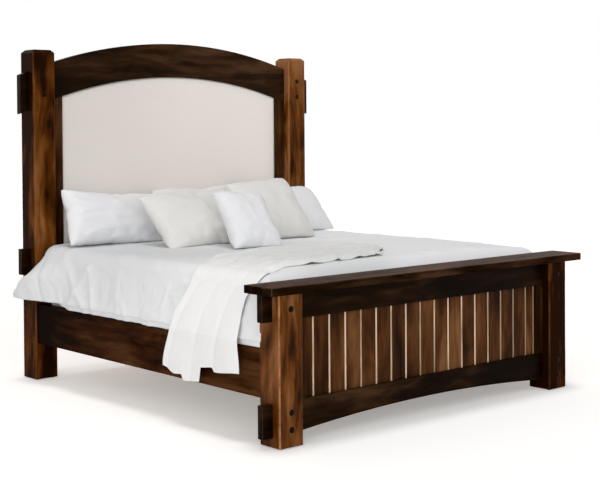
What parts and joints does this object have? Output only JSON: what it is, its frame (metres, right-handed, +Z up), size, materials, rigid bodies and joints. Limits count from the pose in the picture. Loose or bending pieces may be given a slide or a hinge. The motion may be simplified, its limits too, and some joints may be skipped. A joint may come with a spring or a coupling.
{
  "type": "upholstered bed",
  "caption": "Bed with massive square posts, an arched headboard around an upholstered panel, a planked footboard under a broad cap, and white bedding with pillows and a throw.",
  "frame": {"origin": "middle of the bed's outline, on the floor", "axes": "+X along the footboard, to the right for someone at the foot who faces the headboard; +Y from foot to head; +Z up"},
  "size_m": [2.255, 2.394, 1.9918],
  "materials": {
    "post_wood": "satin, stained mid-brown with darker knots",
    "dark_wood": "satin, stained near black-brown",
    "stile_wood": "satin, stained dark brown",
    "plank_wood": "satin, stained brown, tone varying from plank to plank",
    "pale_strip": "satin, pale",
    "peg_wood": "satin, nearly black",
    "panel_wood": "satin veneer",
    "raw_wood": "matt, unfinished",
    "plated_steel": "zinc plated",
    "glide_plastic": "matt",
    "panel_cloth": "plain woven upholstery cloth",
    "mattress_cloth": "knitted ticking",
    "duvet_cloth": "washed cotton",
    "throw_cloth": "soft knitted cloth",
    "pillow_cloth": "washed cotton"
  },
  "bodies": {
    "bedstead": {"head_post_left": "post_wood", "head_post_right": "post_wood", "arch_rail": "dark_wood", "head_lower_rail": "dark_wood", "head_stile_left": "stile_wood", "head_stile_right": "stile_wood", "head_pad_board": "raw_wood", "head_upholstery": "panel_cloth", "head_back_panel": "panel_wood", "head_pegs": "peg_wood", "foot_post_left": "post_wood", "foot_post_right": "post_wood", "foot_top_rail": "dark_wood", "foot_bottom_rail": "dark_wood", "foot_stile_left": "stile_wood", "foot_stile_right": "stile_wood", "foot_plank_01": "plank_wood", "foot_plank_02": "plank_wood", "foot_plank_03": "plank_wood", "foot_plank_04": "plank_wood", "foot_plank_05": "plank_wood", "foot_plank_06": "plank_wood", "foot_plank_07": "plank_wood", "foot_plank_08": "plank_wood", "foot_plank_09": "plank_wood", "foot_plank_10": "plank_wood", "foot_plank_11": "plank_wood", "foot_plank_12": "plank_wood", "foot_plank_13": "plank_wood", "foot_plank_14": "plank_wood", "foot_plank_15": "plank_wood", "foot_plank_16": "plank_wood", "foot_plank_17": "plank_wood", "foot_strips": "pale_strip", "foot_cap": "dark_wood", "foot_pegs": "peg_wood", "post_glides": "glide_plastic", "side_rail_left": "post_wood", "side_rail_right": "post_wood", "rail_cleats": "raw_wood", "rail_hook_plates": "plated_steel", "post_hook_plates": "plated_steel", "wood_screws": "plated_steel", "slats": "raw_wood", "centre_beam": "raw_wood", "centre_leg_front": "raw_wood", "centre_leg_rear": "raw_wood", "foundation_left": "mattress_cloth", "foundation_right": "mattress_cloth", "mattress": "mattress_cloth", "duvet": "duvet_cloth", "throw": "throw_cloth", "pillow_back_left": "pillow_cloth", "pillow_back_centre": "pillow_cloth", "pillow_back_right": "pillow_cloth", "pillow_front_left": "pillow_cloth", "pillow_front_centre": "pillow_cloth", "pillow_front_right": "pillow_cloth"},
    "front_leveller": {"leveller_front": "plated_steel"},
    "rear_leveller": {"leveller_rear": "plated_steel"}
  },
  "joints": [
    {"name": "leveller_front_screw", "type": "slide", "parent": "bedstead", "child": "front_leveller", "axis": [0, 0, 1], "range_m": [-0.012, 0.018]},
    {"name": "leveller_rear_screw", "type": "slide", "parent": "bedstead", "child": "rear_leveller", "axis": [0, 0, 1], "range_m": [-0.012, 0.018]}
  ]
}
